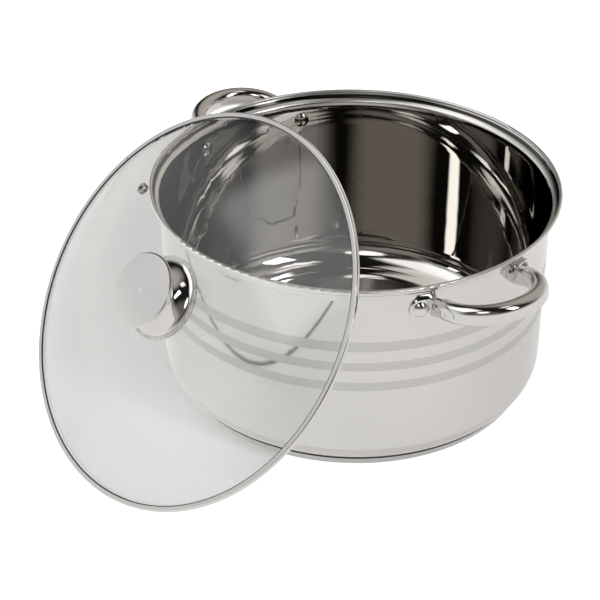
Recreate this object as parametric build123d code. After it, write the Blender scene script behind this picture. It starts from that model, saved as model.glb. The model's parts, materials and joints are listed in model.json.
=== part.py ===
from build123d import *
import math
import os

# Stock pot with two riveted loop handles and a glass lid, in millimetres.
# Origin: centre of the base underside, on the surface the pot stands on. +Z is up.
# The handles lie along +X and -X. The lid leans against the rim on the -Y side.

# --- pot: driving dimensions ---------------------------------------------------------
INSIDE_DIAMETER = 300.0
POT_HEIGHT = 167.5
SHEET = 0.8
CORNER_R = 21.8            # outer radius of the wall's bottom corner
SHELL_Z = 3.8              # underside of the shell, on top of the sandwich base
RIM_R = 158.7              # outermost radius of the rolled lip
RIM_BEAD_R = 1.45          # radius of the rolled bead along the lip
FLARE_Z = 155.0            # the wall starts to widen here, towards the seat for the lid
FLARE_BEND_R = 10.0
SEAT_IN_R = 151.6          # inner and outer edge of the seat, at the middle of the sheet
SEAT_IN_Z = 159.5
SEAT_OUT_R = 155.0
SEAT_OUT_Z = 161.6
SEAT_IN_BEND_R = 3.0
SEAT_OUT_BEND_R = 1.5

# --- sandwich base -------------------------------------------------------------------
CAP_SHEET = 0.6
BASE_R = 139.8             # mid-sheet radius of the base cap at its bottom corner
BASE_CORNER_R = 3.0
SEAM_ANGLE = 53.5          # where the base cap ends on the corner arc, below horizontal
SEAM_STEP = 0.42           # the cap's edge stands this far outside the shell

# --- handles and rivets --------------------------------------------------------------
HANDLE_REACH = 50.0        # from the chord through the leg roots to the tube's centre
HANDLE_HALF_SPAN = 38.3    # half the distance between the two legs
LEG_STRAIGHT = 16.0        # straight part of each leg before the bend
HANDLE_RISE = 10.0         # degrees by which the loop rises away from the wall
TUBE_WIDTH = 12.8          # across the tube, seen from above
TUBE_HEIGHT = 15.2
TUBE_CORNER = 6.0
TUBE_SHEET = 1.0
HANDLE_Z = 147.5           # height of the tube's centre where it leaves the wall
RIVET_Z = 145.0
RIVET_ANGLE = 18.3         # either side of the handle's centre line, seen from above
TAB_SHEET = 2.2
TAB_HEIGHT = 15.8
TAB_END = 55.6             # how far the tab reaches along the chord
TAB_START = 33.0
ROOT_WIDTH = 5.4           # flattened leg where it meets the tab
ROOT_HEIGHT = 15.4
ROOT_CORNER = 2.4
TUBE_START = 15.0          # along the leg, where the flattening ends
RIVET_HEAD_R = 5.9
RIVET_HEAD_H = 3.4
RIVET_HEAD_EDGE = 0.7      # straight edge under the dome of a rivet head
RIVET_INNER_H = 2.8        # the head inside the pot is flatter
RIVET_SHANK_R = 2.5
RIVET_PLAY = 0.05
HEAD_PLAY = 0.02           # left between the outer head and the tab
RIVET_INNER_PLAY = 0.15    # the wall curves away under the flat inner head

# --- lid -----------------------------------------------------------------------------
LID_R = 151.3              # outer radius of the steel edge band
BAND_SHEET = 0.4
BAND_COVER = 3.6           # how far the band reaches over the glass
BAND_SLIT = 0.5            # butt joint of the band
BAND_SLIT_ANGLE = 62.0
BAND_FOLD_R = 0.9          # at the middle of the band's sheet
SEAL_SHEET = 0.2
SEAL_SHOWS = 0.8           # strip of the seal left uncovered by the band
GLASS = 3.2
EDGE_GRIND = 0.6           # rounding of the glass edge
GLASS_EDGE_R = 145.2       # where the flat edge of the glass turns into the dome
DOME_HEIGHT = 28.0         # underside of the centre above the band's lower face
FLAT_R = 34.0              # flat seat for the knob at the centre
KNOB_HOLE_R = 4.5
VENT_RADIUS = 101.0
VENT_ANGLE = 55.0
VENT_HOLE_R = 3.0
VENT_BORE_R = 1.7
VENT_BARREL_R = 2.7
VENT_FLANGE_R = 4.5
VENT_FLANGE_H = 1.15
VENT_WASHER_R = 4.4
VENT_WASHER_GAP = 0.15     # left between the glass and the washer
VENT_WASHER_H = 0.75
VENT_SPREAD = 0.3          # the barrel ends this far past the washer

# --- lid at rest, leaning on the rim -------------------------------------------------
LEAN = 51.2                # degrees between the lid's plane and the floor
LEAN_AZIMUTH = 276.0       # side of the pot on which it leans
LIP_GAP = 0.4              # left between the glass and the lip
FLOOR_GAP = 0.05

# --- knob ----------------------------------------------------------------------------
GASKET_R = 31.6
GASKET_SHEET = 0.9
FLARE_R = 28.8
FLARE_EDGE = 0.9           # upright edge of the flared foot
WAIST_R = 19.5
WAIST_SHARE = 0.52         # height of the waist, as a share of the knob's shell
NECK_R = 24.9              # top of the shell, under the cap
KNOB_SHEET = 0.7
KNOB_CAP_R = 27.6
KNOB_CAP_H = 2.2           # from the shell up to the middle of the cap
KNOB_CAP_CROWN = 1.2
KNOB_CAP_SKIRT = 1.5       # the cap's edge is turned down this far past the shell
KNOB_TOP = 57.0            # top face of the knob above the band's lower face
INSERT_R = 7.0
INSERT_FLANGE_R = 17.6
INSERT_FLANGE_H = 1.2
INSERT_PLUG = 4.0          # solid end of the insert, above its bore
SCREW_R = 2.4
SCREW_PLAY = 0.2
SCREW_HEAD_R = 5.2
SCREW_HEAD_H = 2.6
SCREW_HEAD_EDGE = 0.8
SCREW_END_GAP = 2.0        # left between the screw's end and the insert's plug
RECESS_LENGTH = 5.4
RECESS_WIDTH = 1.1
RECESS_DEPTH = 1.1
UNDER_SEAL_R = 13.0
UNDER_SEAL_H = 1.2
UNDER_WASHER_R = 10.0
UNDER_WASHER_H = 1.0

INSIDE_R = INSIDE_DIAMETER / 2
WALL_MID = INSIDE_R + SHEET / 2
WALL_R = INSIDE_R + SHEET
SEAT_Z = DOME_HEIGHT + GLASS         # upper face of the glass under the knob
BODY_Z = SEAT_Z + GASKET_SHEET       # foot of the knob's shell
BODY_TOP = KNOB_TOP - KNOB_CAP_H     # top of the knob's shell
CUT = 60.0                           # longer than anything it cuts through


def offset_points(points, distance):
    """Corner points of the parallel to an open polyline, on its left for distance > 0."""
    steps = [(b - a).normalized() for a, b in zip(points, points[1:])]
    normals = [Vector(-s.Y, s.X) for s in steps]
    result = [points[0] + normals[0] * distance]
    for point, n1, n2 in zip(points[1:-1], normals, normals[1:]):
        mitre = (n1 + n2) / (1 + n1.dot(n2))
        result.append(point + mitre * distance)
    result.append(points[-1] + normals[-1] * distance)
    return result


def corner_turns(points):
    """+1 for each corner of an open polyline that turns left, -1 for one that turns right."""
    steps = [b - a for a, b in zip(points, points[1:])]
    return [1 if a.X * b.Y - a.Y * b.X > 0 else -1 for a, b in zip(steps, steps[1:])]


def sheet_face(path, radii, thickness):
    """Section of bent sheet metal about its middle line, on the XZ plane."""
    points = [Vector(*p) for p in path]
    edges = []
    for side in (0.5, -0.5):
        moved = offset_points(points, side * thickness)
        bends = [r - turn * side * thickness for r, turn in zip(radii, corner_turns(points))]
        if bends:
            edges.append(FilletPolyline(*moved, radius=bends))
        else:
            edges.append(Polyline(*moved))
    left, right = edges
    ends = [Line(left @ 0, right @ 0), Line(left @ 1, right @ 1)]
    return Plane.XZ * make_face([left, right] + ends)


def turned_sheet(path, radii, thickness, arc=360):
    """Sheet metal spun about Z; path holds (radius, height) points of its middle line."""
    return revolve(sheet_face(path, radii, thickness), Axis.Z, revolution_arc=arc)


def turned(points):
    """Solid of revolution about Z with a straight-sided (radius, height) section."""
    return revolve(Plane.XZ * make_face(Polyline(*points, close=True)), Axis.Z)


def tube_ring(inner, outer, low, high):
    return turned([(inner, low), (outer, low), (outer, high), (inner, high)])


def ring_of_wire(radius, height, wire_r):
    section = Plane.XZ * Pos(radius, height) * Circle(wire_r)
    return revolve(section, Axis.Z)


def crown_arc(radius, low, high):
    """Arc from (radius, low) up to the axis at height high, level where it ends."""
    rise = high - low
    sphere = (radius ** 2 + rise ** 2) / (2 * rise)
    half = radius / 2
    middle = high - sphere + math.sqrt(sphere ** 2 - half ** 2)
    return ThreePointArc((radius, low), (half, middle), (0, high))


def domed_head(radius, height, edge):
    """Round head with its flat face on z = 0: a short straight edge under a dome."""
    profile = Polyline((0, height), (0, 0), (radius, 0), (radius, edge))
    return revolve(Plane.XZ * make_face([profile, crown_arc(radius, edge, height)]), Axis.Z)


# --- pot -----------------------------------------------------------------------------


def pot_body():
    """Deep-drawn shell, its rim flared into a seat for the lid and rolled into a bead."""
    floor = SHELL_Z + SHEET / 2
    path = [
        (0, floor),
        (WALL_MID, floor),
        (WALL_MID, FLARE_Z),
        (SEAT_IN_R, SEAT_IN_Z),
        (SEAT_OUT_R, SEAT_OUT_Z),
        (RIM_R - RIM_BEAD_R, POT_HEIGHT - RIM_BEAD_R),
    ]
    radii = [CORNER_R - SHEET / 2, FLARE_BEND_R, SEAT_IN_BEND_R, SEAT_OUT_BEND_R]
    shell = turned_sheet(path, radii, SHEET)
    shell += ring_of_wire(RIM_R - RIM_BEAD_R, POT_HEIGHT - RIM_BEAD_R, RIM_BEAD_R)
    for place in rivet_places():
        shell -= place * Cylinder(RIVET_SHANK_R + RIVET_PLAY, CUT)
    return shell


def seam_point(radius):
    """Point on the corner arc of the given radius where the base cap ends."""
    angle = math.radians(SEAM_ANGLE)
    centre_r = WALL_R - CORNER_R
    centre_z = SHELL_Z + CORNER_R
    return (centre_r + radius * math.cos(angle), centre_z - radius * math.sin(angle))


def base_core():
    """Aluminium heat-spreading disc that fills the space between the shell and the cap."""
    centre_r = WALL_R - CORNER_R
    centre_z = SHELL_Z + CORNER_R
    half = math.radians((90 + SEAM_ANGLE) / 2)
    seam = seam_point(CORNER_R)
    middle = (centre_r + CORNER_R * math.cos(half), centre_z - CORNER_R * math.sin(half))
    side = BASE_R - CAP_SHEET / 2 - BASE_CORNER_R
    outline = [
        Line((0, SHELL_Z), (centre_r, SHELL_Z)),
        ThreePointArc((centre_r, SHELL_Z), middle, seam),
        Line(seam, (BASE_R - CAP_SHEET, CAP_SHEET + BASE_CORNER_R)),
        Line((BASE_R - CAP_SHEET, CAP_SHEET + BASE_CORNER_R), (side, CAP_SHEET)),
        Line((side, CAP_SHEET), (0, CAP_SHEET)),
        Line((0, CAP_SHEET), (0, SHELL_Z)),
    ]
    return revolve(Plane.XZ * make_face(outline), Axis.Z)


def base_cap():
    """Steel capsule pressed over the aluminium disc and up to the shell's corner."""
    seam_r, seam_z = seam_point(CORNER_R)
    path = [
        (0, CAP_SHEET / 2),
        (BASE_R, CAP_SHEET / 2),
        (seam_r + SEAM_STEP, seam_z - CAP_SHEET / 2),
    ]
    return turned_sheet(path, [BASE_CORNER_R], CAP_SHEET)


# --- handles and rivets --------------------------------------------------------------


def rivet_places():
    """Locations on the wall's outer face, +Z of each pointing outwards."""
    places = []
    for side in (0, 180):
        for turn in (-RIVET_ANGLE, RIVET_ANGLE):
            spin = Rot(0, 0, side + turn)
            places.append(spin * Pos(WALL_R, 0, RIVET_Z) * Rot(0, 90, 0))
    return places


def leg_plane(reach):
    """Plane across a handle leg, at this distance along the loop's own plane."""
    root = math.sqrt(WALL_R ** 2 - HANDLE_HALF_SPAN ** 2)
    rise = math.radians(HANDLE_RISE)
    outward = Vector(math.cos(rise), 0, math.sin(rise))
    origin = Vector(root, HANDLE_HALF_SPAN, HANDLE_Z) + outward * reach
    return Plane(origin=origin, x_dir=(0, 1, 0), z_dir=outward)


def loop_path(straight):
    """Middle line of the handle tube: two short legs and half an ellipse."""
    root = math.sqrt(WALL_R ** 2 - HANDLE_HALF_SPAN ** 2)
    loop_plane = Pos(root, 0, HANDLE_Z) * Rot(0, -HANDLE_RISE, 0)
    bend = HANDLE_REACH - LEG_STRAIGHT
    arch = EllipticalCenterArc((LEG_STRAIGHT, 0), bend, HANDLE_HALF_SPAN, -90, arc_size=180)
    legs = [
        Line((straight, -HANDLE_HALF_SPAN), (LEG_STRAIGHT, -HANDLE_HALF_SPAN)),
        Line((LEG_STRAIGHT, HANDLE_HALF_SPAN), (straight, HANDLE_HALF_SPAN)),
    ]
    return loop_plane * Wire([legs[0], arch, legs[1]])


def handle():
    """Bent oval tube with flattened, riveted ends, on the +X side."""
    start = leg_plane(TUBE_START)
    outer = start * RectangleRounded(TUBE_WIDTH, TUBE_HEIGHT, TUBE_CORNER)
    bore = start * RectangleRounded(
        TUBE_WIDTH - 2 * TUBE_SHEET, TUBE_HEIGHT - 2 * TUBE_SHEET, TUBE_CORNER - TUBE_SHEET
    )
    path = loop_path(TUBE_START)
    tube = sweep(outer, path=path)
    tube -= sweep(bore, path=path)

    tab_middle = math.sqrt((WALL_R + TAB_SHEET / 2) ** 2 - HANDLE_HALF_SPAN ** 2)
    root_plane = Plane(
        origin=(tab_middle, HANDLE_HALF_SPAN, RIVET_Z), x_dir=(0, 1, 0), z_dir=(1, 0, 0)
    )
    root = root_plane * RectangleRounded(ROOT_WIDTH, ROOT_HEIGHT, ROOT_CORNER)
    leg = loft([root, outer])
    tab_shell = tube_ring(WALL_R, WALL_R + TAB_SHEET, RIVET_Z - TAB_HEIGHT, RIVET_Z + TAB_HEIGHT)
    length = TAB_END - TAB_START
    middle = (TAB_END + TAB_START) / 2
    tab_plane = Plane(
        origin=(WALL_R - CUT / 2, middle, RIVET_Z), x_dir=(0, 1, 0), z_dir=(1, 0, 0)
    )
    tab = extrude(tab_plane * SlotOverall(length, TAB_HEIGHT), CUT) & tab_shell
    end = leg + tab
    result = tube + end + mirror(end, about=Plane.XZ)
    for place in rivet_places():
        result -= place * Cylinder(RIVET_SHANK_R + RIVET_PLAY, CUT)
    return result


def rivet():
    """Solid rivet along +Z with its outer head seated on the tab and a head inside."""
    outer_z = TAB_SHEET + HEAD_PLAY
    inner_z = -SHEET - RIVET_INNER_PLAY
    shank = Pos(0, 0, inner_z - RIVET_HEAD_EDGE) * Cylinder(
        RIVET_SHANK_R,
        outer_z - inner_z + 2 * RIVET_HEAD_EDGE,
        align=(Align.CENTER, Align.CENTER, Align.MIN),
    )
    outer = Pos(0, 0, outer_z) * domed_head(RIVET_HEAD_R, RIVET_HEAD_H, RIVET_HEAD_EDGE)
    inner = Rot(180, 0, 0) * domed_head(RIVET_HEAD_R, RIVET_INNER_H, RIVET_HEAD_EDGE)
    return shank + outer + Pos(0, 0, inner_z) * inner


# --- lid, in its own frame: z along the knob, 0 at the band's lower face --------------


def dome_face():
    """Half section of the glass: flat knob seat, dome and flat edge inside the band."""
    low = BAND_SHEET + SEAL_SHEET
    drop = DOME_HEIGHT - low
    reach = GLASS_EDGE_R - FLAT_R
    radius = (reach ** 2 + drop ** 2) / (2 * drop)
    tilt = math.asin(reach / radius)
    top_r = GLASS_EDGE_R + GLASS * math.sin(tilt)
    top_z = low + GLASS * math.cos(tilt)
    edge_r = LID_R - BAND_SHEET - SEAL_SHEET
    under = TangentArc((FLAT_R, DOME_HEIGHT), (GLASS_EDGE_R, low), tangent=(1, 0))
    over = TangentArc((FLAT_R, DOME_HEIGHT + GLASS), (top_r, top_z), tangent=(1, 0))
    edge = [(GLASS_EDGE_R, low), (edge_r, low), (edge_r, top_z), (top_r, top_z)]
    ground = FilletPolyline(*edge, radius=EDGE_GRIND)
    seat = Polyline(
        (FLAT_R, DOME_HEIGHT + GLASS),
        (KNOB_HOLE_R, DOME_HEIGHT + GLASS),
        (KNOB_HOLE_R, DOME_HEIGHT),
        (FLAT_R, DOME_HEIGHT),
    )
    return Plane.XZ * make_face([under, ground, over, seat]), radius, top_z


def vent_place():
    """Location on the dome's upper face with +Z along its normal."""
    _, radius, _ = dome_face()
    tilt = math.asin((VENT_RADIUS - FLAT_R) / (radius + GLASS))
    drop = (radius + GLASS) * (1 - math.cos(tilt))
    height = DOME_HEIGHT + GLASS - drop
    return Rot(0, 0, VENT_ANGLE) * Pos(VENT_RADIUS, 0, height) * Rot(0, math.degrees(tilt), 0)


def lid_glass():
    section, _, _ = dome_face()
    return revolve(section, Axis.Z) - vent_place() * Cylinder(VENT_HOLE_R, CUT)


def band_height():
    _, _, top_z = dome_face()
    return top_z + SEAL_SHEET + BAND_SHEET


def lid_band():
    """Folded steel channel around the glass edge, its ends meeting in a butt joint."""
    low = BAND_SHEET / 2
    high = band_height() - BAND_SHEET / 2
    inner = LID_R - BAND_COVER
    outer = LID_R - BAND_SHEET / 2
    path = [(inner, low), (outer, low), (outer, high), (inner, high)]
    slit = math.degrees(BAND_SLIT / LID_R)
    ring = turned_sheet(path, [BAND_FOLD_R, BAND_FOLD_R], BAND_SHEET, 360 - slit)
    return Rot(0, 0, BAND_SLIT_ANGLE + slit / 2) * ring


def lid_seal():
    """Sealing liner between the glass edge and the band."""
    low = BAND_SHEET + SEAL_SHEET / 2
    high = band_height() - BAND_SHEET - SEAL_SHEET / 2
    inner = LID_R - BAND_COVER - SEAL_SHOWS
    outer = LID_R - BAND_SHEET - SEAL_SHEET / 2
    fold = BAND_FOLD_R - (BAND_SHEET + SEAL_SHEET) / 2
    path = [(inner, low), (outer, low), (outer, high), (inner, high)]
    return turned_sheet(path, [fold, fold], SEAL_SHEET)


def vent_eyelet():
    """Steam vent: a barrel through the glass with a rounded flange on top."""
    end = -GLASS - VENT_WASHER_GAP - VENT_WASHER_H - VENT_SPREAD
    shoulder = 0.3 * VENT_FLANGE_H
    section = [
        (VENT_BORE_R, end),
        (VENT_BARREL_R, end),
        (VENT_BARREL_R, VENT_WASHER_GAP),
        (VENT_FLANGE_R, VENT_WASHER_GAP),
        (VENT_FLANGE_R - shoulder / 2, VENT_FLANGE_H - shoulder),
        (VENT_FLANGE_R - 2 * shoulder, VENT_FLANGE_H),
        (VENT_BORE_R + shoulder, VENT_FLANGE_H),
        (VENT_BORE_R, VENT_FLANGE_H - shoulder),
    ]
    return vent_place() * turned(section)


def vent_washer():
    """Ring under the glass over which the vent barrel is spread."""
    top = -GLASS - VENT_WASHER_GAP
    return vent_place() * tube_ring(VENT_BARREL_R, VENT_WASHER_R, top - VENT_WASHER_H, top)


# --- knob, along the lid's axis ------------------------------------------------------


def knob_gasket():
    return tube_ring(KNOB_HOLE_R, GASKET_R, SEAT_Z, BODY_Z)


def knob_side(inset):
    """Half profile of the knob's shell, this far inside its outer face."""
    foot = (FLARE_R - inset, BODY_Z + FLARE_EDGE - inset)
    middle = (FLARE_R - 4.2 - inset / 2, BODY_Z + 3.6 - inset)
    waist = (WAIST_R - inset, BODY_Z + WAIST_SHARE * (BODY_TOP - BODY_Z))
    neck = (NECK_R - inset, BODY_TOP)
    return [
        Line((foot[0], BODY_Z), foot),
        Spline(foot, middle, waist, neck, tangents=((-1, 0.25), (1, 0.55))),
    ]


def knob_body():
    """Spun steel shell with a flared foot and a waist."""
    outer = knob_side(0)
    inner = knob_side(KNOB_SHEET)
    ends = [
        Line(outer[0] @ 0, inner[0] @ 0),
        Line(outer[1] @ 1, inner[1] @ 1),
    ]
    return revolve(Plane.XZ * make_face(outer + inner + ends), Axis.Z)


def knob_cap():
    """Slightly crowned top disc with a turned-down edge, pressed onto the knob shell."""
    face_r = KNOB_CAP_R - 0.9
    edge_z = KNOB_TOP - KNOB_CAP_CROWN
    top = crown_arc(face_r, edge_z, KNOB_TOP)
    edge = Polyline(
        (face_r, edge_z),
        (KNOB_CAP_R, edge_z - 0.8),
        (KNOB_CAP_R, BODY_TOP - KNOB_CAP_SKIRT + 0.4),
        (KNOB_CAP_R - 1.0, BODY_TOP - KNOB_CAP_SKIRT),
        (NECK_R + 0.3, BODY_TOP),
        (0, BODY_TOP),
        (0, KNOB_TOP),
    )
    return revolve(Plane.XZ * make_face([top, edge]), Axis.Z)


def knob_insert():
    """Threaded boss inside the knob that takes the screw."""
    plug_z = BODY_TOP - INSERT_PLUG
    boss = tube_ring(SCREW_R, INSERT_R, BODY_Z, plug_z)
    flange = tube_ring(SCREW_R, INSERT_FLANGE_R, BODY_Z, BODY_Z + INSERT_FLANGE_H)
    plug = Pos(0, 0, plug_z) * Cylinder(
        INSERT_R, INSERT_PLUG, align=(Align.CENTER, Align.CENTER, Align.MIN)
    )
    return boss + flange + plug


def knob_seal():
    """Soft washer under the glass."""
    return tube_ring(
        SCREW_R + SCREW_PLAY, UNDER_SEAL_R, DOME_HEIGHT - UNDER_SEAL_H, DOME_HEIGHT
    )


def knob_washer():
    """Steel cup washer under the screw head."""
    top = DOME_HEIGHT - UNDER_SEAL_H
    return tube_ring(SCREW_R + SCREW_PLAY, UNDER_WASHER_R, top - UNDER_WASHER_H, top)


def knob_screw():
    """Pan-head screw with a cross recess, from below."""
    head_z = DOME_HEIGHT - UNDER_SEAL_H - UNDER_WASHER_H
    length = BODY_TOP - INSERT_PLUG - SCREW_END_GAP - head_z
    head = Rot(180, 0, 0) * domed_head(SCREW_HEAD_R, SCREW_HEAD_H, SCREW_HEAD_EDGE)
    shank = Cylinder(SCREW_R, length, align=(Align.CENTER, Align.CENTER, Align.MIN))
    recess = Box(RECESS_LENGTH, RECESS_WIDTH, 2 * RECESS_DEPTH)
    recess += Box(RECESS_WIDTH, RECESS_LENGTH, 2 * RECESS_DEPTH)
    return Pos(0, 0, head_z) * (head + shank - Pos(0, 0, -SCREW_HEAD_H) * recess)


# --- lid pose ------------------------------------------------------------------------


def lid_location():
    """Lid leaning on the lip, its band on the floor; X of the lid's frame runs uphill."""
    lean = math.radians(LEAN)
    normal = (math.sin(lean), math.cos(lean))
    centre_z = LID_R * math.sin(lean) + FLOOR_GAP
    lip_r = RIM_R - RIM_BEAD_R
    lip_z = POT_HEIGHT - RIM_BEAD_R
    depth = DOME_HEIGHT - RIM_BEAD_R - LIP_GAP
    centre_r = lip_r - (depth - (lip_z - centre_z) * normal[1]) / normal[0]
    azimuth = math.radians(LEAN_AZIMUTH)
    out = Vector(math.cos(azimuth), math.sin(azimuth), 0)
    up = Vector(0, 0, 1)
    place = Plane(
        origin=out * centre_r + up * centre_z,
        x_dir=up * normal[0] - out * normal[1],
        z_dir=out * normal[0] + up * normal[1],
    )
    return place.location


def write_parts():
    os.makedirs("parts", exist_ok=True)
    parts = {
        "pot_body": pot_body(),
        "base_core": base_core(),
        "base_cap": base_cap(),
        "handle_right": handle(),
        "handle_left": Rot(0, 0, 180) * handle(),
    }
    rivet_names = ["right_front", "right_back", "left_back", "left_front"]
    for name, place in zip(rivet_names, rivet_places()):
        parts["rivet_" + name] = place * rivet()
    lid = {
        "lid_glass": lid_glass(),
        "lid_band": lid_band(),
        "lid_seal": lid_seal(),
        "vent_eyelet": vent_eyelet(),
        "vent_washer": vent_washer(),
        "knob_gasket": knob_gasket(),
        "knob_body": knob_body(),
        "knob_cap": knob_cap(),
        "knob_insert": knob_insert(),
        "knob_seal": knob_seal(),
        "knob_washer": knob_washer(),
        "knob_screw": knob_screw(),
    }
    leaning = lid_location()
    for name, piece in lid.items():
        parts[name] = leaning * piece
    for name, piece in parts.items():
        export_step(piece, f"parts/{name}.step")


write_parts()
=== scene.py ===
import json
import math

import bpy
from mathutils import Matrix, Vector


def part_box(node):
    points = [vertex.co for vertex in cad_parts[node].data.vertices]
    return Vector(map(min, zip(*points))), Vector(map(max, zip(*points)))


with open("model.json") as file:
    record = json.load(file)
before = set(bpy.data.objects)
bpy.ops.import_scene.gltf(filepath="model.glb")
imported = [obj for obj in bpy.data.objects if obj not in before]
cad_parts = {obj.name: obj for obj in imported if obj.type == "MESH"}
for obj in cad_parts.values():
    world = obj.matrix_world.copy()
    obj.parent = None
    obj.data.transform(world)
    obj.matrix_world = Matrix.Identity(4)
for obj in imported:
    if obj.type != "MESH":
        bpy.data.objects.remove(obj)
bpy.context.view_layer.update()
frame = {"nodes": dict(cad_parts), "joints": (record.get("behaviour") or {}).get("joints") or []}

# Looks of the stock pot: materials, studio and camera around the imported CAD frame.
# Everything is in metres, in the CAD's own frame: origin under the base, +Z up.

NODES = frame["nodes"]
LID_AXIS = Vector(frame["joints"][0]["axis"]).normalized()
ORIGIN = Vector((0.0, 0.0, 0.0))
UP = Vector((0.0, 0.0, 1.0))

# Places on the pot's shell
POT_RADIUS = 0.15
POT_WALL_MID = 0.1504             # middle of the wall's sheet, so it parts inside from outside
WALL_SOFT = 0.0002
SATIN_BANDS = ((0.1107, 0.1192), (0.0938, 0.1013), (0.0762, 0.0839))
BAND_SOFT = 0.0003
SEAT_HEIGHTS = (0.1592, 0.1613)   # turned seat for the lid
SEAT_SOFT = 0.0002
LIP_Z = 0.1643                    # the rolled lip has a turned finish from this height up
LIP_SOFT = 0.0004
GROOVE_HEIGHTS = (0.1615, 0.1640) # heights of the painted shade in the groove between the seat and the lip
GROOVE_SOFT = 0.0003
GROOVE_FOOT_R = 0.1550            # foot of the groove's wall, at the middle of its sheet
GROOVE_FOOT_Z = 0.1616
GROOVE_LEAN = 0.505               # how far that wall leans out, per unit of height
GROOVE_EDGE = 0.0002              # the shade grows over this depth into the groove

# Finish of the pot's steel; pairs are the ends of a roughness
GRAIN_SQUEEZE = 60.0              # the grain's lines run round the pot
WAVE_STRETCH = 0.35               # the sheet's waves run up the wall
POLISH_INSIDE = (0.012, 0.03)
POLISH_ADDED_OUTSIDE = (0.03, 0.07)
SATIN = (0.26, 0.36)
BRUSHING = 0.12                   # strength of the grain's relief, outside

# Rings of turned metal
RING_RUNOUT = 0.002               # how much they change round one turn
RING_FADE = (0.0005, 0.004)       # radii between which their relief grows from nothing

# Painted shade: a dark line along the top of the base's cap, at its seam with the pot
SEAM_DEPTH = 0.0008
SEAM_SOFT = 0.0004

# Colours
STEEL = (0.645, 0.634, 0.619)
WIPED_STEEL = (0.665, 0.654, 0.639)
INNER_STEEL = (0.575, 0.560, 0.540)
BAND_STEEL = (0.545, 0.537, 0.525)
TURNED_STEEL = (0.76, 0.75, 0.735)
CAP_STEEL = (0.52, 0.512, 0.50)
KNOB_STEEL = (0.67, 0.662, 0.652)
VENT_STEEL = (0.38, 0.37, 0.36)
ALUMINIUM = (0.86, 0.86, 0.87)
# painted shade for the groove by the lip
GROOVE_SHADE = (0.06, 0.057, 0.054)
# painted shade along the seam at the base
SEAM_SHADE = (0.05, 0.048, 0.045)
GLASS_SHADOW = (0.95, 0.955, 0.95)
WHITE = (1.0, 1.0, 1.0)

# Floor
FLOOR_HALF = 6.0
FLOOR_DROP = 0.0001
FLOOR_GLOW = 0.45
FLOOR_GLOW_THROUGH_GLASS = 0.14
FLOOR_GLOW_EXTRA_DIRECT = 0.45

# Camera, solved on the reference view; angles in degrees
SENSOR_WIDTH = 36.0
FOCAL_LENGTH = 105.57
CAMERA_AZIMUTH = -36.7
CAMERA_REACH = 1.18870            # distance from the pot's axis
CAMERA_HEIGHT = 0.83188
CAMERA_HEADING = 55.36
CAMERA_DIP = 33.117
CAMERA_ROLL = 0.317
CAMERA_CLIP = (0.05, 30.0)


# --- node trees ----------------------------------------------------------------------


class Tree:
    """A shader node tree, written as expressions on sockets."""

    def __init__(self, block):
        block.use_nodes = True
        self.nodes = block.node_tree.nodes
        self.links = block.node_tree.links
        self.nodes.clear()

    def feed(self, socket, value):
        """Link a socket to another one, or set it to a plain value."""
        if isinstance(value, bpy.types.NodeSocket):
            self.links.new(value, socket)
        elif isinstance(value, tuple) and socket.type == "RGBA":
            socket.default_value = (*value, 1.0)
        else:
            socket.default_value = value

    def node(self, kind, inputs=(), **settings):
        made = self.nodes.new("ShaderNode" + kind)
        for key, value in settings.items():
            setattr(made, key, value)
        for key, value in dict(inputs).items():
            self.feed(made.inputs[key], value)
        return made

    def math(self, operation, *values):
        return self.node("Math", enumerate(values), operation=operation).outputs[0]

    def vector(self, operation, *values):
        return self.node("VectorMath", enumerate(values), operation=operation).outputs["Vector"]

    def dot(self, one, other):
        made = self.node("VectorMath", ((0, one), (1, other)), operation="DOT_PRODUCT")
        return made.outputs["Value"]

    def combine(self, x, y, z):
        return self.node("CombineXYZ", enumerate((x, y, z))).outputs[0]

    def step(self, value, low, high):
        """Smooth 0 to 1 as value goes from low to high."""
        inputs = {"Value": value, "From Min": low, "From Max": high}
        return self.node("MapRange", inputs, interpolation_type="SMOOTHSTEP").outputs[0]

    def span(self, value, low, high, soft):
        """1 between low and high, 0 outside."""
        rise = self.step(value, low - soft, low + soft)
        fall = self.step(value, high - soft, high + soft)
        return self.math("SUBTRACT", rise, fall)

    def blend(self, share, at_zero, at_one):
        """Number between two others."""
        inputs = {"Value": share, "To Min": at_zero, "To Max": at_one}
        return self.node("MapRange", inputs).outputs[0]

    def tint(self, share, at_zero, at_one):
        """Colour between two others."""
        factor, first, second, result = 0, 6, 7, 2   # sockets of a Mix node that mixes colours
        inputs = ((factor, share), (first, at_zero), (second, at_one))
        return self.node("Mix", inputs, data_type="RGBA").outputs[result]

    def direct_and_through(self):
        """1 for direct view, and 1 for light through glass that met no mirror on the way."""
        path = self.node("LightPath").outputs
        unmirrored = self.math("LESS_THAN", path["Glossy Depth"], 0.5)
        through = self.math("MULTIPLY", path["Is Transmission Ray"], unmirrored)
        return path["Is Camera Ray"], through


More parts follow.
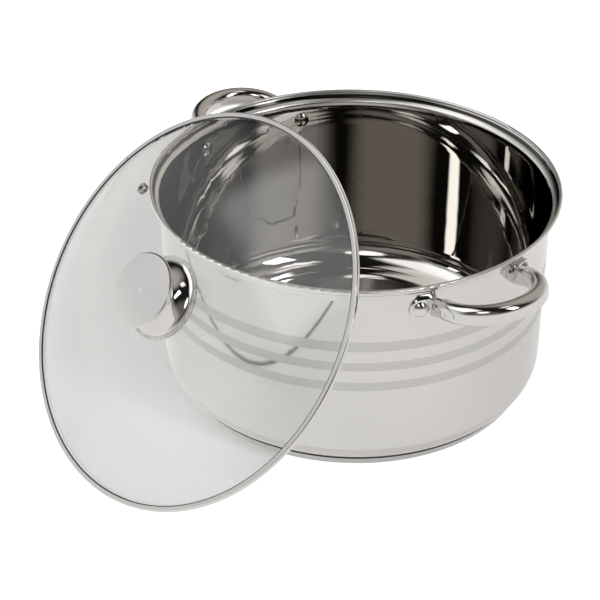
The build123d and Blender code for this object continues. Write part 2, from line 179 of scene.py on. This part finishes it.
class Look(Tree):
    """A material with one Principled shader."""

    def __init__(self, name):
        self.material = bpy.data.materials.new(name)
        super().__init__(self.material)
        self.output = self.node("OutputMaterial")
        self.shader = self.node("BsdfPrincipled")
        self.feed(self.output.inputs["Surface"], self.shader.outputs["BSDF"])

    def position(self):
        return self.node("TexCoord").outputs["Object"]

    def around(self, centre, axis):
        """Radius, height and angle of the shaded point about an axis."""
        side = axis.orthogonal().normalized()
        local = self.vector("SUBTRACT", self.position(), centre)
        height = self.dot(local, axis)
        x = self.dot(local, side)
        y = self.dot(local, axis.cross(side))
        squares = self.math("ADD", self.math("MULTIPLY", x, x), self.math("MULTIPLY", y, y))
        return self.math("SQRT", squares), height, self.math("ARCTAN2", y, x)

    def noise(self, where, scale, detail=2.0, roughness=0.5):
        inputs = {"Vector": where, "Scale": scale, "Detail": detail, "Roughness": roughness}
        return self.node("TexNoise", inputs).outputs["Fac"]

    def bump(self, height, distance, strength, normal=None):
        inputs = {"Height": height, "Distance": distance, "Strength": strength}
        if normal is not None:
            inputs["Normal"] = normal
        return self.node("Bump", inputs).outputs[0]

    def set(self, **values):
        """Feed the shader's inputs by name, and hand over the material."""
        for key, value in values.items():
            self.feed(self.shader.inputs[key.replace("_", " ")], value)
        return self.material


# --- materials -----------------------------------------------------------------------


def brighter(colour, factor):
    return tuple(min(1.0, part * factor) for part in colour)


def pot_zones(t, radius, height):
    """Shares of outside, satin bands, turned seat and lip, and the groove's painted shade on the
    shell.
    """
    outside = t.step(radius, POT_WALL_MID - WALL_SOFT, POT_WALL_MID + WALL_SOFT)
    bands = 0.0
    for low, high in SATIN_BANDS:
        bands = t.math("ADD", bands, t.span(height, low, high, BAND_SOFT))
    bands = t.math("MULTIPLY", bands, outside)
    seat = t.span(height, *SEAT_HEIGHTS, SEAT_SOFT)
    lip = t.step(height, LIP_Z - LIP_SOFT, LIP_Z + LIP_SOFT)
    turned = t.math("MAXIMUM", seat, lip)
    # painted shade: a mask over the groove's wall, where its colour is darkened to stand in for
    # shade
    lean = t.math("MULTIPLY", t.math("SUBTRACT", height, GROOVE_FOOT_Z), GROOVE_LEAN)
    groove_wall = t.math("ADD", lean, GROOVE_FOOT_R)
    painted_groove_shade = t.step(t.math("SUBTRACT", groove_wall, radius), 0.0, GROOVE_EDGE)
    painted_groove_shade = t.math("MULTIPLY", painted_groove_shade, t.span(height, *GROOVE_HEIGHTS, GROOVE_SOFT))
    return outside, bands, turned, painted_groove_shade


def pot_steel():
    """Pot shell: polished, with three satin bands outside, a turned seat and lip, and painted shade
    in the groove.
    """
    t = Look("pot_steel")
    radius, height, angle = t.around(ORIGIN, UP)
    outside, bands, turned, painted_groove_shade = pot_zones(t, radius, height)

    arc = t.math("MULTIPLY", angle, POT_RADIUS)
    squeezed = t.combine(arc, t.math("MULTIPLY", height, GRAIN_SQUEEZE), radius)
    stretched = t.combine(arc, t.math("MULTIPLY", height, WAVE_STRETCH), radius)
    grain = t.noise(squeezed, scale=90.0, detail=4.0, roughness=0.6)
    waves = t.noise(stretched, scale=22.0, detail=1.0)
    smudge = t.noise(t.position(), scale=14.0, detail=3.0)

    tone = t.tint(smudge, STEEL, WIPED_STEEL)
    tone = t.tint(outside, INNER_STEEL, tone)
    tone = t.tint(bands, tone, BAND_STEEL)
    tone = t.tint(turned, tone, TURNED_STEEL)
    # painted shade: the groove's wall is darkened in colour
    tone = t.tint(painted_groove_shade, tone, GROOVE_SHADE)

    polish_added = t.math("MULTIPLY", outside, t.blend(grain, *POLISH_ADDED_OUTSIDE))
    polish = t.math("ADD", t.blend(smudge, *POLISH_INSIDE), polish_added)
    satin = t.math("MAXIMUM", bands, turned)

    wavy = t.bump(waves, distance=0.0006, strength=0.35)
    brushing = t.math("MULTIPLY", outside, BRUSHING)
    return t.set(
        Base_Color=tone,
        Metallic=1.0,
        Roughness=t.blend(satin, polish, t.blend(grain, *SATIN)),
        Normal=t.bump(grain, distance=0.00002, strength=brushing, normal=wavy),
    )


def polished_steel(name, low, high, colour=STEEL):
    """Buffed steel with faint wipe marks, of roughness low to high."""
    t = Look(name)
    smudge = t.noise(t.position(), scale=45.0, detail=3.0)
    fine = t.noise(t.position(), scale=600.0)
    return t.set(
        Base_Color=t.tint(smudge, colour, brighter(colour, 1.05)),
        Metallic=1.0,
        Roughness=t.blend(smudge, low, high),
        Normal=t.bump(fine, distance=0.00001, strength=0.12),
    )


def spun_steel(name, centre, axis, low, high, colour=STEEL, relief=0.30, painted_shade_from=None):
    """Metal turned on a lathe: fine rings about its axis; painted shade darkens it above a given
    height.
    """
    t = Look(name)
    radius, height, angle = t.around(centre, axis)
    runout = t.math("MULTIPLY", angle, RING_RUNOUT)
    rings = t.noise(t.combine(radius, height, runout), scale=2600.0, detail=3.0, roughness=0.7)
    patch = t.noise(t.position(), scale=60.0)
    tone = t.tint(patch, colour, brighter(colour, 1.03))
    if painted_shade_from is not None:
        # painted shade: the colour turns dark above that height, along the seam
        tone = t.tint(t.step(height, painted_shade_from, painted_shade_from + SEAM_SOFT), tone, SEAM_SHADE)
    off_centre = t.step(radius, *RING_FADE)
    return t.set(
        Base_Color=tone,
        Metallic=1.0,
        Roughness=t.blend(rings, low, high),
        Normal=t.bump(rings, distance=0.00002, strength=t.blend(off_centre, 0.0, relief)),
    )


def clear_glass():
    """Glass with a faint grey tint, which lets shadow rays through."""
    t = Look("clear_glass")
    haze = t.noise(t.position(), scale=25.0)
    t.set(
        Base_Color=t.tint(haze, (0.955, 0.96, 0.955), (0.97, 0.975, 0.97)),
        Transmission_Weight=1.0,
        Roughness=0.0,
        IOR=1.5,
    )
    open_glass = t.node("BsdfTransparent", {"Color": GLASS_SHADOW})
    shadow = t.node("LightPath").outputs["Is Shadow Ray"]
    parts = ((0, shadow), (1, t.shader.outputs[0]), (2, open_glass.outputs[0]))
    t.feed(t.output.inputs["Surface"], t.node("MixShader", parts).outputs[0])
    return t.material


def clear_plastic():
    """Slightly cloudy plastic of the washer under the knob."""
    t = Look("clear_plastic")
    cloud = t.noise(t.position(), scale=180.0)
    return t.set(
        Base_Color=t.tint(cloud, (0.94, 0.94, 0.93), (0.98, 0.98, 0.97)),
        Transmission_Weight=0.85,
        Roughness=t.blend(cloud, 0.10, 0.20),
        IOR=1.46,
    )


def moulded(name, dark, light, low, high):
    """Moulded rubber or plastic with a fine texture, of roughness low to high."""
    t = Look(name)
    grain = t.noise(t.position(), scale=1500.0, detail=3.0, roughness=0.6)
    return t.set(
        Base_Color=t.tint(grain, dark, light),
        Roughness=t.blend(grain, low, high),
        Normal=t.bump(grain, distance=0.00003, strength=0.3),
    )


def dress(material, *names):
    for name in names:
        for slot in NODES[name].material_slots:
            slot.material = material


def middle(name):
    low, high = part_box(name)
    return (low + high) / 2


def dress_pot():
    polished = polished_steel("polished_steel", 0.05, 0.10)
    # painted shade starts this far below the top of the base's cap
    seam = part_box("base_cap")[1].z - SEAM_DEPTH
    cap = spun_steel("base_steel", ORIGIN, UP, 0.10, 0.22, CAP_STEEL, painted_shade_from=seam)
    dress(pot_steel(), "pot_body")
    dress(cap, "base_cap")
    dress(spun_steel("aluminium", ORIGIN, UP, 0.30, 0.45, ALUMINIUM), "base_core")
    dress(polished, *(name for name in NODES if name.startswith(("handle", "rivet"))))
    dress(polished, "knob_body")


def dress_lid():
    cap = middle("knob_cap")
    satin = spun_steel("knob_satin", cap, LID_AXIS, 0.26, 0.30, KNOB_STEEL, relief=0.05)
    screw = spun_steel("screw_steel", middle("knob_screw"), LID_AXIS, 0.18, 0.34)
    vent = polished_steel("vent_steel", 0.10, 0.20, VENT_STEEL)
    rubber = moulded("seal_rubber", (0.03, 0.03, 0.032), (0.06, 0.06, 0.062), 0.45, 0.6)
    insert = moulded("insert_plastic", (0.02, 0.02, 0.021), (0.05, 0.05, 0.05), 0.35, 0.5)
    dress(clear_glass(), "lid_glass")
    dress(polished_steel("band_steel", 0.08, 0.16), "lid_band")
    dress(rubber, "lid_seal", "knob_seal")
    dress(vent, "vent_eyelet", "vent_washer")
    dress(satin, "knob_cap")
    dress(clear_plastic(), "knob_gasket")
    dress(insert, "knob_insert")
    dress(screw, "knob_washer", "knob_screw")


# --- studio --------------------------------------------------------------------------


def toward(azimuth, elevation):
    """Unit vector in this direction, in degrees; azimuth 0 is +X and 90 is +Y."""
    a, e = math.radians(azimuth), math.radians(elevation)
    return Vector((math.cos(e) * math.cos(a), math.cos(e) * math.sin(a), math.sin(e)))


def floor():
    """Pale paper that glows, less for light that reaches the camera through the glass."""
    half = FLOOR_HALF
    z = -FLOOR_DROP
    corners = [(-half, -half, z), (half, -half, z), (half, half, z), (-half, half, z)]
    mesh = bpy.data.meshes.new("floor")
    mesh.from_pydata(corners, [], [(0, 1, 2, 3)])
    made = bpy.data.objects.new("floor", mesh)
    bpy.context.scene.collection.objects.link(made)

    t = Look("floor_paper")
    tooth = t.noise(t.position(), scale=40.0, detail=4.0)
    direct, through = t.direct_and_through()
    glow = t.blend(through, FLOOR_GLOW, FLOOR_GLOW_THROUGH_GLASS)
    paper = t.set(
        Base_Color=t.tint(tooth, (0.86, 0.86, 0.86), (0.88, 0.88, 0.88)),
        Roughness=0.9,
        Emission_Color=WHITE,
        Emission_Strength=t.math("ADD", glow, t.math("MULTIPLY", direct, FLOOR_GLOW_EXTRA_DIRECT)),
    )
    mesh.materials.append(paper)


class Sky(Tree):
    """The world's light, by direction only; all angles in degrees."""

    def __init__(self, name):
        world = bpy.data.worlds.new(name)
        bpy.context.scene.world = world
        super().__init__(world)
        self.direction = self.node("TexCoord").outputs["Generated"]
        self.light = self.node("CombineColor").outputs[0]

    def add(self, share, colour):
        """Add light of this colour, scaled by share."""
        inputs = {0: Vector(colour), "Scale": share}
        scaled = self.node("VectorMath", inputs, operation="SCALE").outputs[0]
        self.light = self.vector("ADD", self.light, scaled)

    def glow(self, azimuth, elevation, edge, core, colour):
        """Round patch: full within core degrees, gone at edge degrees."""
        facing = self.dot(self.direction, toward(azimuth, elevation))
        edge, core = math.cos(math.radians(edge)), math.cos(math.radians(core))
        self.add(self.step(facing, edge, core), colour)

    def horizon(self, edge, core, colour):
        """Ring of light: full below core degrees of elevation, gone at edge degrees."""
        rise = self.dot(self.direction, UP)
        edge, core = math.sin(math.radians(edge)), math.sin(math.radians(core))
        self.add(self.step(rise, edge, core), colour)

    def panel(self, azimuth, elevation, half_width, half_height, soft, colour):
        """Soft-edged rectangle; half sizes and soft are tangents of angles."""
        centre = toward(azimuth, elevation)
        across = UP.cross(centre).normalized()
        along = centre.cross(across)
        depth = self.dot(self.direction, centre)
        share = self.step(depth, 0.0, 0.2)
        for side, half in ((across, half_width), (along, half_height)):
            place = self.math("DIVIDE", self.dot(self.direction, side), depth)
            place = self.math("ABSOLUTE", place)
            share = self.math("MULTIPLY", share, self.step(place, half + soft, half - soft))
        self.add(share, colour)

    def finish(self, backdrop):
        """Show this colour in direct view and through glass; mirrors see the lights."""
        direct, through = self.direct_and_through()
        seen = self.tint(self.math("MAXIMUM", direct, through), self.light, backdrop)
        background = self.node("Background", {"Color": seen})
        self.node("OutputWorld", {"Surface": background.outputs[0]})


def studio():
    """Dark room with soft lights; left, right and behind are as the camera sees them."""
    sky = Sky("studio")
    sky.add(1.0, (0.014, 0.013, 0.012))
    # pale ring along the horizon
    sky.horizon(edge=20, core=4, colour=(0.36, 0.34, 0.315))
    # faintly lit wall behind, to the right
    sky.glow(100, 34, edge=50, core=22, colour=(0.50, 0.465, 0.43))
    # broad bright wall at the left, with a soft box above it
    sky.glow(228, 8, edge=62, core=24, colour=(0.75, 0.75, 0.75))
    sky.panel(245, 58, half_width=0.42, half_height=0.32, soft=0.10, colour=(1.5, 1.48, 1.46))
    # faint light below the camera, and a small lamp above it
    sky.glow(320, 18, edge=36, core=10, colour=(0.15, 0.142, 0.132))
    sky.glow(315, 44, edge=13, core=4, colour=(2.4, 2.4, 2.4))
    # upright strip at the right front, and a small soft box high at the right
    sky.panel(19, 37, half_width=0.10, half_height=0.28, soft=0.03, colour=(5.0, 5.0, 5.0))
    sky.panel(45, 72, half_width=0.10, half_height=0.10, soft=0.04, colour=(1.6, 1.57, 1.54))
    sky.finish(WHITE)


def camera():
    """Focal length and pose of the reference view."""
    data = bpy.data.cameras.new("camera")
    data.sensor_width = SENSOR_WIDTH
    data.lens = FOCAL_LENGTH
    data.clip_start, data.clip_end = CAMERA_CLIP
    made = bpy.data.objects.new("camera", data)
    azimuth = math.radians(CAMERA_AZIMUTH)
    across, along = CAMERA_REACH * math.cos(azimuth), CAMERA_REACH * math.sin(azimuth)
    place = Vector((across, along, CAMERA_HEIGHT))
    turn = (
        Matrix.Rotation(math.radians(CAMERA_HEADING), 4, "Z")
        @ Matrix.Rotation(math.radians(90 - CAMERA_DIP), 4, "X")
        @ Matrix.Rotation(math.radians(CAMERA_ROLL), 4, "Z")
    )
    made.matrix_world = Matrix.Translation(place) @ turn
    bpy.context.scene.collection.objects.link(made)
    bpy.context.scene.camera = made


dress_pot()
dress_lid()
floor()
studio()
camera()
bpy.context.scene.view_settings.view_transform = "Standard"
